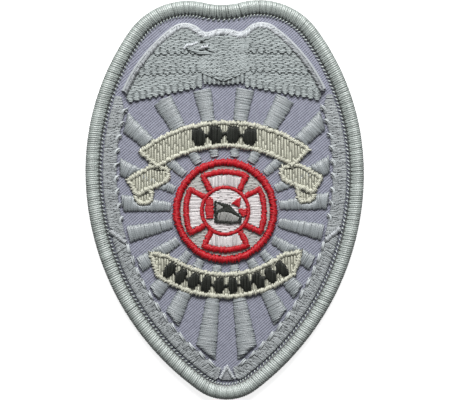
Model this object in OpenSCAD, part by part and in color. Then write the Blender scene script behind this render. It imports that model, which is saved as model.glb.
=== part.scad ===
// Firefighter's shoulder patch: an embroidered shield of twill with an overlocked edge.
// It lies face up on z = 0 with the top of the shield towards +y. All sizes are in mm.

/* [Shield] */
// Width over the overlocked edge
shield_w = 62.8; // [61:0.2:65]
// Height over the overlocked edge
shield_h = 90; // [88:0.5:92]
// Distance of each shoulder's crest from the middle
shoulder_x = 8; // [7.6:0.1:8.4]
// Radius of the shoulders
shoulder_r = 16.2; // [15.8:0.1:16.6]
// Depth of the dip between the shoulders
dip_depth = 1; // [0.8:0.05:1.2]
// Radius of the sides above the widest level
side_r = 55; // [53:0.5:57]
// Radius of the tip
tip_r = 11; // [10.5:0.1:11.5]

/* [Cloth and edge] */
// Thickness of the twill with its backing
cloth_t = 1; // [0.8:0.1:1.2]
// Width of the overlocked edge
edge_w = 3.4; // [3.2:0.1:3.8]
// Thickness of the overlocked edge
edge_t = 2.6; // [2.4:0.1:3]
// Thickness of the edge thread under the twill
edge_lip = 0.3; // [0.25:0.05:0.4]
// Depth to which the edge covers the twill's rim
edge_cover = 1.7; // [1.5:0.1:1.9]

/* [Medallion] */
// Height of the medallion's centre above the middle of the shield
medallion_y = -2.45; // [-3:0.05:-2]
// Outer radius of the red ring
ring_r = 11.7; // [11.5:0.1:11.9]
// Width of the red ring
ring_w = 1.45; // [1.3:0.05:1.6]
// Width of the red cord round each arm of the cross
arm_cord_w = 1.2; // [1:0.05:1.3]
// Outer radius of the thin ring round the hub
hub_r = 5.65; // [5.5:0.05:5.8]
// Width of the thin ring round the hub
hub_ring_w = 0.75; // [0.65:0.05:0.85]

/* [Rays] */
// Radius at which the rays begin
ray_start_r = 12.4; // [12.2:0.1:12.6]
// Distance of the rays' ends from the outside of the shield
ray_inset = 7.8; // [7.6:0.1:8.2]
// Rise of a ray's crest, in degrees seen from the medallion's centre
ray_rise = 1.2; // [1:0.1:1.4]

/* [Scrolls] */
// Width of the satin cord round each scroll
scroll_cord_w = 1; // [0.8:0.05:1.1]

/* [Hidden] */
$fn = 96;

// Clearance between pieces
gap = 0.04;
// Room left where a piece is held or passed over
slip = 0.05;

// Steps of an arc of the outline, of half a crest and of the edge's round outside
arc_steps = 12;
crest_steps = 3;
roll_step = 22.5;

// Drop from the edge's crown to its slot, at the inside
edge_step = 0.35;

// Levels of the cloth and of the stitching on it
cloth_z = edge_lip + slip;
stitch_z = cloth_z + cloth_t + gap;

// Heights of the stitching above stitch_z
ray_side_h = 0.15;
ray_low_h = 0.3;
ground_h = 0.3;
cross_z = ground_h + gap;
arm_fill_h = 0.72;
arm_cord_h = 0.95;
hub_h = 0.72;
emblem_z = hub_h + gap;
emblem_h = 1.15;
red_h = 1.08;
ring_h = 1;
ring_side_h = 0.35;
hub_ring_h = 0.92;
hub_ring_side_h = 0.4;
scroll_fill_h = 0.62;
scroll_cord_h = 0.9;
trim_h = 0.95;
tail_fill_h = 0.5;
tail_cord_h = 0.75;
band_h = 0.55;
band_ridge_h = 0.8;
tie_h = 0.9;
wing_cord_h = 1.2;
wing_cord_side_h = 0.4;
body_h = 1.25;

// Outline of the shield, from arcs that meet on common tangents
half_w = shield_w / 2;
half_h = shield_h / 2;
shoulder_c = [shoulder_x, half_h - shoulder_r];
widest_y = shoulder_c.y - sqrt((side_r - shoulder_r) ^ 2 - (shoulder_x - half_w + side_r) ^ 2);
side_c = [half_w - side_r, widest_y];
tip_c = [0, tip_r - half_h];
tip_drop = widest_y - tip_c.y;
flank_r = (half_w ^ 2 + tip_drop ^ 2 - tip_r ^ 2) / (2 * (half_w - tip_r));
flank_c = [half_w - flank_r, widest_y];
dip_rise = half_h - dip_depth - shoulder_c.y;
dip_r = (shoulder_x ^ 2 + dip_rise ^ 2 - shoulder_r ^ 2) / (2 * (shoulder_r - dip_rise));
dip_c = [0, half_h - dip_depth + dip_r];

function heading(from, to) = atan2(to.y - from.y, to.x - from.x);
tip_a = heading(flank_c, tip_c);
shoulder_a = heading(side_c, shoulder_c);
dip_a = heading(dip_c, shoulder_c);

// Each arc: centre, radius (negative where the outline is hollow), start and end angle
flank_arc = [flank_c, flank_r, tip_a, 0];
side_arc = [side_c, side_r, 0, shoulder_a];
shoulder_arc = [shoulder_c, shoulder_r, shoulder_a, dip_a + 180];
dip_arc = [dip_c, -dip_r, dip_a, -180 - dip_a];
tip_arc = [tip_c, tip_r, -180 - tip_a, tip_a];
right_arcs = [flank_arc, side_arc, shoulder_arc];
outline_arcs = concat(right_arcs, [dip_arc], mirror_arcs(right_arcs), [tip_arc]);

// Rays on the right, from the top: angle from the top, width in degrees, greatest reach
ray_rows = [
    [10, 8.5, 27.8],
    [28.8, 9.2, 28.8],
    [47.8, 8, 32],
    [66.8, 8.5, 32],
    [85, 9.5, 32],
    [103, 9.8, 32],
    [121.5, 9, 32],
    [138.5, 8.5, 32],
    [153, 9, 32],
    [171.5, 8.6, 34]
];
ray_count = 2 * len(ray_rows);
// Rays up to this angle end along the sides, the others along the flanks
side_ray_limit = 75;

// Upper scroll: the circles of its edges and the fan that trims its ends
top_outer_r = 32;
top_outer_y = -14.1;
top_inner_r = 26.9;
top_inner_y = -15.1;
top_fan_y = -7.1;
top_fan_a = 47;

// Tail and fold on the right
tail_points = [[22.4, 5], [16.8, 8.2], [12.6, 7.6], [12.2, 5.6], [12.7, 4.1], [17.7, 1.9], [19.7, 0.9], [20.5, 1.8]];
fold_points = [[20.6, 1.4], [15.8, 3.3], [16.1, 0.2], [17, -0.9], [19.3, -0.9], [20.5, 0.2]];

// Lower scroll: the circles of its edges and the corners of its right end
low_outer_r = 26.8;
low_outer_y = 4.6;
low_inner_r = 21.2;
low_inner_y = 4.9;
low_end_points = [[12.6, -12.2], [17.5, -11.2], [15.7, -17.4], [12, -27]];

// Thread ornament on each scroll: number of blocks, angle between them, block width and height
top_trim = [4, 7.6, 3.4, 4];
low_trim = [10, 7.1, 2.5, 3.7];
trim_link_w = 0.7;
trim_nip = 0.22;

// Arms of the cross, above the medallion's centre
arm_in = [3.55, 4];
arm_out = [5.7, 8.1];
arm_reach = 9.35;
arm_names = ["top", "left", "bottom", "right"];

// Emblem on the hub, from the medallion's centre
helmet_points = [
    [-2.55, 2.3], [-2.5, -2.6], [0.6, -2.85], [2.9, -2.8],
    [3.7, -2.6], [3.8, -1.4], [3, -0.6], [1.9, 0.5], [1.2, 1.4], [-1.3, 2.1]
];
crown_points = [[-1.95, 1.75], [-1.95, 0], [-0.3, 0.65]];
brim_points = [
    [-1.75, -0.45], [-1.65, -2.25], [1.5, -2.5], [3, -2.3],
    [3.2, -1.45], [2.5, -1.2], [1.5, -0.7], [0.2, -0.2]
];
bar_points = [[-3.4, 3.3], [-2.7, 2.7], [-2.7, -1.7], [-4.1, -1.7], [-4.5, 0.2], [-4.3, 2.3]];
wedge_points = [[1.35, 1.65], [3.2, 0.95], [3.5, 3.1]];
knob_points = [[2.9, 0.35], [3.3, -0.55], [4.1, -1.35], [4.75, -0.95], [4.75, 0.35]];

// Eagle: long arc of the wing, crest of the shoulder and arch of the head
wing_c = [-9.1, 10.8];
wing_r = 34.6;
wing_tip_a = 23.5;
crest_r = 4.6;
crest_top_y = 39.6;
crest_c = [wing_c.x + sqrt((wing_r - crest_r) ^ 2 - (crest_top_y - crest_r - wing_c.y) ^ 2), crest_top_y - crest_r];
crest_a = heading(wing_c, crest_c);
head_r = 7.5;
head_c = [0, 38.2 - head_r];
nape_r = 2.4;
nape_c = touching(head_c, head_r + nape_r, crest_c, crest_r + nape_r);
wing_cord_w = 1.2;
wing_arcs = [
    [wing_c, wing_r, wing_tip_a, crest_a],
    [crest_c, crest_r, crest_a, heading(crest_c, nape_c)],
    [nape_c, -nape_r, heading(nape_c, crest_c), heading(nape_c, head_c)]
];
head_arc = [head_c, head_r, heading(head_c, nape_c), 180 - heading(head_c, nape_c)];

// Feather rows on each wing, lowest first: height, inner and outer end of the row's edge, feathers
feather_rows = [
    [0.6, [4.6, 26.3], [21.7, 22.9], 12],
    [0.8, [4.6, 29.6], [19.2, 28.8], 10],
    [1, [4.6, 33.8], [15.6, 33.4], 7]
];
feather_r = 0.85;
row_step = 0.12;
wing_floor_y = 18;
body_half_w = 4.6;
body_points = [
    [-4.6, 36.75], [-6.2, 35.3], [-8.6, 34.6], [-6.2, 33.4], [-4.6, 32.6],
    [-4.6, 26.5], [-2, 25.9], [2, 25.9], [4.6, 26.5], [4.6, 36.75]
];

// Side bands, measured inwards from the outside of the shield
degree = 180 / PI;
band_in = 4.2;
band_w = 2.6;
band_top_a = 20;
band_end_a = -70;
// Angle of the tie's middle on the flank, and how far each band runs past it before it is cut
band_tie_a = -15;
band_run_a = 3.5;
band_taper_points = [[-1, -4.6], [1.9, 0.5], [-1, 0.5]];
tie_start = [25.8, -6.7];
tie_end = [22.6, -9.3];
tie_w = 1.1;
tie_reach = 12;

// Thorns on the upper bands and dashes on the lower ones, from the top down
thorn_top = 14.2;
thorn_pitch = 3.1;
thorn_count = 9;
thorn_h = 0.5;
thorn_points = [[0.5, -0.6], [-0.6, 0.15], [-0.55, 0.45], [0.5, 0.35]];
dash_top = -17.2;
dash_pitch = 2.95;
dash_l = 2.35;
dash_w = 0.7;
dash_count = 12;
dash_turn = 9;

// Chevron at the tip
chevron_top = [0, -37.5];
chevron_foot = [1.55, -40.2];
chevron_w = 0.6;

// Helpers

function ray_name(i) = str("ray_", i < 10 ? "0" : "", i);

// Centre of a circle at distance a_r from point a and b_r from point b, on the upper side
function touching(a, a_r, b, b_r) =
    let (d = norm(b - a), along = (a_r ^ 2 - b_r ^ 2 + d ^ 2) / (2 * d), up = sqrt(a_r ^ 2 - along ^ 2))
    a + along * (b - a) / d + up * [a.y - b.y, b.x - a.x] / d;

// The same arcs on the left, in the order in which a path from the right meets them
function mirror_arcs(arcs) =
    [for (i = [len(arcs) - 1:-1:0])
        let (arc = arcs[i])
        [[-arc[0].x, arc[0].y], arc[1], 180 - arc[3], 180 - arc[2]]];

// Place on an arc and the direction inwards from it
function station(arc, part) =
    let (a = arc[2] + (arc[3] - arc[2]) * part, out = [cos(a), sin(a)])
    [arc[0] + abs(arc[1]) * out, -sign(arc[1]) * out];
function stations(arcs) = [for (arc = arcs, i = [1:arc_steps]) station(arc, i / arc_steps)];
function moved(places, inwards) = [for (place = places) place[0] + inwards * place[1]];

function mirrored(points) = [for (i = [len(points) - 1:-1:0]) [-points[i].x, points[i].y]];

// Corners of a polygon whose sides are all moved inwards, for points that run clockwise or back
function inset_points(points, inwards) =
    let (n = len(points), turn = sign(area2(points)))
    [for (i = [0:n - 1])
        let (
            before = unit(points[i] - points[(i + n - 1) % n]),
            after = unit(points[(i + 1) % n] - points[i]),
            normal = unit([-before.y, before.x] + [-after.y, after.x])
        )
        points[i] + turn * inwards / (normal * [-after.y, after.x]) * normal];
function unit(v) = v / norm(v);
function area2(points) =
    let (n = len(points))
    [for (i = [0:n - 1]) cross(points[i], points[(i + 1) % n])] * [for (i = [0:n - 1]) 1];

// Points of a satin cord's section, clockwise: square sides under a round crest
function cord_section(w, h, side_h) =
    let (crest = h - side_h, r = (w ^ 2 / 4 + crest ^ 2) / (2 * crest), half_a = asin(w / 2 / r))
    concat(
        [[-w / 2, 0]],
        [for (i = [-crest_steps:crest_steps])
            let (a = half_a * i / crest_steps)
            [r * sin(a), h - r + r * cos(a)]],
        [[w / 2, 0]]
    );

// Carries a section, given clockwise as distance inwards and height, from station to station
module sweep(places, section, closed = false) {
    n = len(places);
    m = len(section);
    points = [for (place = places, p = section) let (q = place[0] + p.x * place[1]) [q.x, q.y, p.y]];
    sides = [for (i = [0:n - (closed ? 1 : 2)], j = [0:m - 1])
        let (here = i * m, next = (i + 1) % n * m, k = (j + 1) % m)
        each [[here + j, here + k, next + k], [here + j, next + k, next + j]]];
    ends = closed ? [] : [[for (j = [m - 1:-1:0]) j], [for (j = [0:m - 1]) (n - 1) * m + j]];
    polyhedron(points, concat(sides, ends));
}

module cord_ring(r, w, h, side_h) {
    rotate_extrude()
        translate([r, 0])
            polygon(cord_section(w, h, side_h));
}

// Wedge that opens upwards from the origin
module fan(half_a, reach) {
    polygon([[0, 0], [reach * tan(half_a), reach], [-reach * tan(half_a), reach]]);
}

// Straight strip with round ends
module strip(from, to, w) {
    translate(from)
        rotate(heading(from, to))
            translate([0, -w / 2])
                square([norm(to - from), w]);
    for (p = [from, to])
        translate(p)
            circle(w / 2);
}

module stitched(h, from = 0) {
    translate([0, 0, stitch_z + from])
        linear_extrude(h - from)
            children();
}

module on_medallion() {
    translate([0, medallion_y])
        children();
}

module side_of(left) {
    mirror([left ? 1 : 0, 0, 0])
        children();
}

// Cloth and edge

module twill_ground() {
    color([0.57, 0.57, 0.64])
        translate([0, 0, cloth_z])
            linear_extrude(cloth_t)
                polygon(moved(stations(outline_arcs), edge_cover + slip));
}

// Round outside, a crown that falls inwards, and a slot for the twill's rim
function edge_section() =
    let (
        roll_r = edge_t / 2,
        slot_top = cloth_z + cloth_t + slip,
        crown_w = edge_w - roll_r,
        crown_drop = edge_t - slot_top - edge_step,
        crown_r = (crown_w ^ 2 + crown_drop ^ 2) / (2 * crown_drop),
        crown_a = asin(crown_w / crown_r)
    )
    concat(
        [for (a = [-90:roll_step:90]) roll_r * [1 - cos(a), 1 + sin(a)]],
        [for (i = [1:crest_steps])
            let (a = crown_a * i / crest_steps)
            [roll_r + crown_r * sin(a), edge_t - crown_r + crown_r * cos(a)]],
        [[edge_w, slot_top], [edge_cover, slot_top], [edge_cover, edge_lip]],
        [[edge_w - slip, edge_lip], [edge_w - slip, 0]]
    );

module merrow_edge() {
    color([0.68, 0.72, 0.7])
        sweep(stations(outline_arcs), edge_section(), closed = true);
}

// Eagle

module eagle_top_cord() {
    arcs = concat(wing_arcs, [head_arc], mirror_arcs(wing_arcs));
    color([0.82, 0.85, 0.86])
        translate([0, 0, stitch_z])
            sweep(
                concat([station(arcs[0], 0)], stations(arcs)),
                cord_section(wing_cord_w, wing_cord_h, wing_cord_side_h)
            );
}

// All that lies under the cord of the right wing, outside the body
module under_wing_cord(inwards) {
    tip = moved([station(wing_arcs[0], 0)], inwards)[0];
    intersection() {
        polygon(concat(
            [[0, wing_floor_y], [tip.x, wing_floor_y], tip],
            moved(stations(wing_arcs), inwards),
            [[0, head_c.y]]
        ));
        translate([body_half_w + gap, 0])
            square(half_h);
    }
}

// The right wing down to the given row of feathers, which ends in round tips
module wing_shape(row, inwards) {
    span = row[2] - row[1];
    intersection() {
        under_wing_cord(inwards);
        union() {
            translate(row[1])
                rotate(heading(row[1], row[2]))
                    translate([-half_w, 0])
                        square([2 * shield_w, half_h]);
            for (i = [0.5:row[3] - 0.5])
                translate(row[1] + i * span / row[3])
                    circle(feather_r);
        }
    }
}

module eagle_wing(left) {
    color([0.6, 0.63, 0.63])
        difference() {
            for (i = [0:len(feather_rows) - 1])
                side_of(left)
                    stitched(feather_rows[i][0], i * row_step)
                        wing_shape(feather_rows[i], wing_cord_w / 2 + gap + i * row_step);
            stitched(body_h + gap, -gap)
                polygon(inset_points(body_points, -gap));
        }
}

module eagle_body() {
    color([0.62, 0.66, 0.66])
        stitched(body_h)
            polygon(body_points);
}

// Side bands

// Places things on the right side at a distance along it, up from the widest level, with x outwards
module at_side(distance, inwards) {
    flank_l = (flank_r - inwards) * -tip_a / degree;
    if (distance >= 0)
        on_arc(side_c, side_r - inwards, distance * degree / (side_r - inwards))
            children();
    else if (distance > -flank_l)
        on_arc(flank_c, flank_r - inwards, distance * degree / (flank_r - inwards))
            children();
    else
        on_arc(tip_c, tip_r - inwards, tip_a + (distance + flank_l) * degree / (tip_r - inwards))
            children();
}

module on_arc(centre, r, a) {
    translate(centre)
        rotate(a)
            translate([r, 0])
                children();
}

// Strip of the flank, with the side above it or the tip below it
module band_shape(arcs) {
    places = concat([station(arcs[0], 0)], stations(arcs));
    outer = moved(places, band_in);
    inner = moved(places, band_in + band_w);
    polygon(concat(outer, [for (i = [len(inner) - 1:-1:0]) inner[i]]));
}

// The right tie and all within reach on one side of it
module beyond_tie(below) {
    clear = tie_w / 2 + gap;
    translate(tie_start)
        rotate(heading(tie_start, tie_end))
            translate([-tie_reach / 2, below ? -clear : clear - tie_reach])
                square(tie_reach);
}

module band_tie(left) {
    color([0.66, 0.7, 0.7])
        side_of(left)
            stitched(tie_h)
                strip(tie_start, tie_end, tie_w);
}

module band_upper(left) {
    flank_part = [flank_c, flank_r, band_tie_a - band_run_a, 0];
    side_part = [side_c, side_r, 0, band_top_a];
    color([0.6, 0.63, 0.64])
        side_of(left) {
            stitched(band_h)
                difference() {
                    band_shape([flank_part, side_part]);
                    on_arc(side_c, side_r - band_in - band_w, band_top_a)
                        polygon(band_taper_points);
                    beyond_tie(true);
                }
            stitched(thorn_h)
                for (i = [0:thorn_count - 1])
                    at_side(thorn_top - i * thorn_pitch, band_in + band_w)
                        polygon(thorn_points);
        }
}

// A flat band with a rope of slanted dashes on its inner edge
module band_lower(left) {
    tip_part = [tip_c, tip_r, band_end_a, tip_a];
    flank_part = [flank_c, flank_r, tip_a, band_tie_a + band_run_a];
    color([0.6, 0.62, 0.64])
        side_of(left) {
            stitched(band_h)
                difference() {
                    band_shape([tip_part, flank_part]);
                    beyond_tie(false);
                }
            stitched(band_ridge_h)
                difference() {
                    for (i = [0:dash_count - 1])
                        at_side(dash_top - i * dash_pitch, band_in + band_w)
                            rotate(dash_turn)
                                strip([0, -dash_l / 2], [0, dash_l / 2], dash_w);
                    beyond_tie(false);
                }
        }
}

module tip_chevron() {
    color([0.75, 0.76, 0.78])
        stitched(tie_h) {
            strip(chevron_top, chevron_foot, chevron_w);
            strip(chevron_top, [-chevron_foot.x, chevron_foot.y], chevron_w);
        }
}

// Rays

module ray_wedge(row, spread = 0) {
    on_medallion()
        rotate(-row[0])
            difference() {
                translate([0, -spread / sin(row[1] / 2)])
                    fan(row[1] / 2, 2 * row[2]);
                translate([0, ray_start_r - spread - ray_start_r])
                    square([shield_w, 2 * (ray_start_r)], center = true);
            }
}

module ray_shape(row) {
    intersection() {
        ray_wedge(row);
        on_medallion()
            circle(row[2]);
        if (row[0] < side_ray_limit)
            translate(side_c)
                circle(side_r - ray_inset);
        else
            translate(flank_c)
                circle(flank_r - ray_inset);
    }
}

// Cone that lies on its side with its tip over the medallion's centre, so that a ray swells outwards
module ray_dome(row) {
    sink = atan((cos(ray_rise) - cos(row[1] / 2)) / sin(ray_rise));
    length = 2 * row[2];
    translate([0, medallion_y, stitch_z + ray_side_h])
        rotate([0, 0, -row[0]])
            rotate([-90 - sink, 0, 0])
                cylinder(h = length, r1 = 0, r2 = length * tan(sink + ray_rise));
}

// Right half of what the rays run under
module over_rays(spread) {
    top_scroll_shape(-spread);
    low_scroll_shape(-spread);
    polygon(inset_points(tail_points, -spread));
    polygon(inset_points(fold_points, -spread));
}

module ray(i) {
    left = i > len(ray_rows);
    row = ray_rows[(left ? ray_count - i : i - 1)];
    color([0.62, 0.65, 0.66])
        side_of(left)
            difference() {
                intersection() {
                    stitched(band_h + 1)
                        ray_shape(row);
                    ray_dome(row);
                }
                stitched(band_h + 1, ray_low_h)
                    over_rays(slip);
            }
}

// Room for the rays in the back of what lies over them
module ray_room() {
    for (left = [false, true], row = ray_rows)
        side_of(left)
            stitched(ray_low_h + slip, -gap)
                ray_wedge(row, slip);
}

// Scrolls

module top_scroll_shape(inwards) {
    intersection() {
        difference() {
            translate([0, top_outer_y])
                circle(top_outer_r - inwards);
            translate([0, top_inner_y])
                circle(top_inner_r + inwards);
        }
        translate([0, top_fan_y + inwards / sin(top_fan_a)])
            fan(top_fan_a, half_h);
    }
}

module low_scroll_shape(inwards) {
    intersection() {
        difference() {
            translate([0, low_outer_y])
                circle(low_outer_r - inwards);
            translate([0, low_inner_y])
                circle(low_inner_r + inwards);
        }
        polygon(inset_points(concat(low_end_points, mirrored(low_end_points)), inwards));
    }
}

// A filled shape inside a raised cord: the first child is its outline, the second the fill's
module scroll(fill_h, cord_h) {
    color([0.8, 0.8, 0.72])
        difference() {
            stitched(cord_h)
                children(0);
            stitched(cord_h + gap, fill_h)
                children(1);
            ray_room();
        }
}

module scroll_top() {
    scroll(scroll_fill_h, scroll_cord_h) {
        top_scroll_shape(0);
        top_scroll_shape(scroll_cord_w);
    }
}

module scroll_bottom() {
    scroll(scroll_fill_h, scroll_cord_h) {
        low_scroll_shape(0);
        low_scroll_shape(scroll_cord_w);
    }
}

module scroll_tail(left) {
    side_of(left)
        difference() {
            scroll(tail_fill_h, tail_cord_h) {
                polygon(tail_points);
                polygon(inset_points(tail_points, scroll_cord_w));
            }
            stitched(tail_cord_h + gap, -gap)
                top_scroll_shape(-gap);
        }
}

module scroll_fold(left) {
    side_of(left)
        difference() {
            scroll(tail_fill_h, tail_cord_h) {
                polygon(fold_points);
                polygon(inset_points(fold_points, scroll_cord_w));
            }
            stitched(tail_cord_h + gap, -gap)
                polygon(inset_points(tail_points, -gap));
        }
}

// Row of blocks joined by a line, along an arc of the given radius about the origin
module trim(row, r) {
    half_row_a = (row[0] - 1) / 2 * row[1];
    intersection() {
        difference() {
            circle(r + trim_link_w / 2);
            circle(r - trim_link_w / 2);
        }
        fan(half_row_a, 2 * r);
    }
    for (i = [0:row[0] - 1])
        rotate(i * row[1] - half_row_a)
            translate([0, r])
                block(row[2], row[3]);
}

module block(w, h) {
    nip = trim_nip * w;
    polygon([
        [-w / 2, 0], [nip - w / 2, -h / 2], [w / 2 - nip, -h / 2],
        [w / 2, 0], [w / 2 - nip, h / 2], [nip - w / 2, h / 2]
    ]);
}

module scroll_trim_top() {
    color([0.1, 0.1, 0.1])
        stitched(trim_h, scroll_fill_h + gap)
            translate([0, (top_outer_y + top_inner_y) / 2])
                trim(top_trim, (top_outer_r + top_inner_r) / 2);
}

module scroll_trim_bottom() {
    color([0.1, 0.1, 0.1])
        stitched(trim_h, scroll_fill_h + gap)
            translate([0, (low_outer_y + low_inner_y) / 2])
                rotate(180)
                    trim(low_trim, (low_outer_r + low_inner_r) / 2);
}

// Medallion

module medallion_ground() {
    color([0.62, 0.65, 0.64])
        stitched(ground_h)
            on_medallion()
                circle(ring_r - ring_w - slip);
}

module medallion_ring() {
    color([0.75, 0.1, 0.13])
        on_medallion()
            translate([0, 0, stitch_z])
                cord_ring(ring_r - ring_w / 2, ring_w, ring_h, ring_side_h);
}

// One arm of the cross, pointing up from the origin. Its sides and its bow are moved inwards.
module arm_shape(inwards, foot_r) {
    half_a = atan2(arm_out.x - arm_in.x, arm_out.y - arm_in.y);
    foot = arm_in.y - arm_in.x / tan(half_a);
    rise = arm_reach - arm_out.y;
    bow_r = (arm_out.x ^ 2 + rise ^ 2) / (2 * rise);
    difference() {
        intersection() {
            translate([0, foot + inwards / sin(half_a)])
                fan(half_a, 2 * ring_r);
            translate([0, arm_reach - bow_r])
                circle(bow_r - inwards);
        }
        circle(foot_r);
    }
}

module on_arm(i) {
    on_medallion()
        rotate(90 * i)
            children();
}

// The cord goes round the sides and the bow of its arm, and is open towards the hub
module arm_cord(i) {
    color([0.75, 0.1, 0.13])
        on_arm(i) {
            difference() {
                stitched(arm_cord_h, cross_z)
                    arm_shape(0, hub_r + gap);
                stitched(arm_cord_h + gap, cross_z - gap)
                    arm_shape(arm_cord_w, hub_r - hub_ring_w);
            }
        }
}

module arm_fill(i) {
    color([0.9, 0.88, 0.88])
        on_arm(i)
            stitched(arm_fill_h, cross_z)
                arm_shape(arm_cord_w + slip, hub_r + gap);
}

module hub_ring() {
    color([0.75, 0.1, 0.13])
        on_medallion()
            translate([0, 0, stitch_z + cross_z])
                cord_ring(hub_r - hub_ring_w / 2, hub_ring_w, hub_ring_h - cross_z, hub_ring_side_h);
}

module hub_disc() {
    color([0.9, 0.88, 0.88])
        stitched(hub_h, cross_z)
            on_medallion()
                circle(hub_r - hub_ring_w - slip);
}

// Emblem on the hub

module emblem(h) {
    stitched(h, emblem_z)
        on_medallion()
            intersection() {
                circle(hub_r - hub_ring_w - slip);
                children();
            }
}

module helmet_shell() {
    color([0.12, 0.12, 0.11])
        emblem(emblem_h)
            difference() {
                polygon(helmet_points);
                polygon(crown_points);
                polygon(brim_points);
            }
}

module helmet_crown() {
    color([0.5, 0.52, 0.5])
        emblem(emblem_h)
            polygon(inset_points(crown_points, gap));
}

module helmet_brim() {
    color([0.5, 0.52, 0.5])
        emblem(emblem_h)
            polygon(inset_points(brim_points, gap));
}

module red_bar() {
    color([0.75, 0.1, 0.13])
        emblem(red_h)
            polygon(bar_points);
}

module red_wedge() {
    color([0.75, 0.1, 0.13])
        emblem(red_h)
            polygon(wedge_points);
}

module red_knob() {
    color([0.75, 0.1, 0.13])
        emblem(red_h)
            polygon(knob_points);
}

// Assembly

twill_ground();
merrow_edge();
eagle_body();
eagle_wing(true);  // eagle_wing_left
eagle_wing(false);  // eagle_wing_right
eagle_top_cord();
band_upper(true);  // band_upper_left
band_upper(false);  // band_upper_right
band_tie(true);  // band_tie_left
band_tie(false);  // band_tie_right
band_lower(true);  // band_lower_left
band_lower(false);  // band_lower_right
tip_chevron();
for (i = [1:ray_count])
    ray(i);
scroll_top();
scroll_tail(true);  // scroll_tail_left
scroll_tail(false);  // scroll_tail_right
scroll_fold(true);  // scroll_fold_left
scroll_fold(false);  // scroll_fold_right
scroll_bottom();
scroll_trim_top();
scroll_trim_bottom();
medallion_ground();
medallion_ring();
for (i = [0:len(arm_names) - 1]) {
    arm_cord(i);
    arm_fill(i);
}
hub_ring();
hub_disc();
helmet_shell();
helmet_crown();
helmet_brim();
red_bar();
red_wedge();
red_knob();
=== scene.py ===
import math

import bmesh
import bpy
import numpy as np
from mathutils import Matrix, Vector
from mathutils.bvhtree import BVHTree


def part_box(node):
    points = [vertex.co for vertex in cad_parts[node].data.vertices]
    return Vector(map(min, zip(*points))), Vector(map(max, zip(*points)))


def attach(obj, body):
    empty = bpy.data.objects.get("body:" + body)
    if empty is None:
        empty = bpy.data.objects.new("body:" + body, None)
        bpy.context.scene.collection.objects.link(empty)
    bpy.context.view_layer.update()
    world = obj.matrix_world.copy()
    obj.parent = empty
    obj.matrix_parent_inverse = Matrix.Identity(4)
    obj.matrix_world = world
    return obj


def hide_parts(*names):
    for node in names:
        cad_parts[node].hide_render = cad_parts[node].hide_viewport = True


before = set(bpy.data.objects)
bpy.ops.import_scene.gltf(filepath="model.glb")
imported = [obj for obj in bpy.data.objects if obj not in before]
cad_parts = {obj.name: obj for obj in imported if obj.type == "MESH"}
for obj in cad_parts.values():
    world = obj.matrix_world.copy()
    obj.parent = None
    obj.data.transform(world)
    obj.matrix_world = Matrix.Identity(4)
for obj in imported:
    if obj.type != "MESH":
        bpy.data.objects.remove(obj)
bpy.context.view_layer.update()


# Twill ground
# The ground is a shield of stiff lavender-grey twill, about a millimetre thick.
# Its steep ribs run up to the right. Everything else is stitched to it.
# Sizes are in millimetres throughout, and in metres only in the meshes.
MM = 0.001
chance = np.random.default_rng(7)

cloth_bottom = 0.35
cloth_top = 1.35
stitch_z = 1.39

half_width = 31.4
half_height = 45
shoulder_x = 8
shoulder_r = 16.2
side_r = 55
tip_r = 11
dip_depth = 1

rib_pitch = 0.5
rib_height = 0.05
rib_angle = math.radians(40)
rib_share = 0.86
rib_rings = 24
cloth_inset = 1.85
rim_pitch = 1
weft_scale = 529.1


def heading(start, end):
    """Direction from one point to another, in radians."""
    return math.atan2(end[1] - start[1], end[0] - start[0])


shoulder_c = (shoulder_x, half_height - shoulder_r)
widest_y = shoulder_c[1] - math.sqrt((side_r - shoulder_r) ** 2 - (shoulder_x - half_width + side_r) ** 2)
side_c = (half_width - side_r, widest_y)
tip_c = (0, tip_r - half_height)
tip_drop = widest_y - tip_c[1]
flank_r = (half_width**2 + tip_drop**2 - tip_r**2) / (2 * (half_width - tip_r))
flank_c = (half_width - flank_r, widest_y)
dip_rise = half_height - dip_depth - shoulder_c[1]
dip_r = (shoulder_x**2 + dip_rise**2 - shoulder_r**2) / (2 * (shoulder_r - dip_rise))
dip_c = (0, half_height - dip_depth + dip_r)
tip_a = heading(flank_c, tip_c)
shoulder_a = heading(side_c, shoulder_c)
dip_a = heading(dip_c, shoulder_c)


def mirrored_arcs(arcs):
    """The same arcs on the left, in the order in which a path from the right meets them."""
    return [((-x, y), r, math.pi - end, math.pi - start) for (x, y), r, start, end in reversed(arcs)]


# Each arc of the shield: centre, radius (negative where the outline is hollow), start and end angle
right_arcs = [
    (flank_c, flank_r, tip_a, 0),
    (side_c, side_r, 0, shoulder_a),
    (shoulder_c, shoulder_r, shoulder_a, dip_a + math.pi),
]
dip_arc = (dip_c, -dip_r, dip_a, -math.pi - dip_a)
tip_arc = (tip_c, tip_r, -math.pi - tip_a, tip_a)
shield_arcs = right_arcs + [dip_arc] + mirrored_arcs(right_arcs) + [tip_arc]


def along_arcs(arcs, pitch):
    """Even places along joined arcs, and the direction to their inside at each."""
    lengths = [abs(r * (end - start)) for _, r, start, end in arcs]
    ends = np.cumsum(lengths)
    count = round(ends[-1] / pitch)
    places, inwards = [], []
    for mark in (np.arange(count) + 0.5) * ends[-1] / count:
        k = int(np.searchsorted(ends, mark))
        centre, r, start, end = arcs[k]
        angle = end - (end - start) * (ends[k] - mark) / lengths[k]
        out = np.array([math.cos(angle), math.sin(angle)])
        places.append(np.array(centre) + abs(r) * out)
        inwards.append(-math.copysign(1, r) * out)
    return np.array(places), np.array(inwards)


# Every thread has six sides, is up to a tenth thinner or thicker, and starts its twist anywhere
thread_sides = 6
thread_spread = (0.9, 1.1)
twist_start = 9


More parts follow.
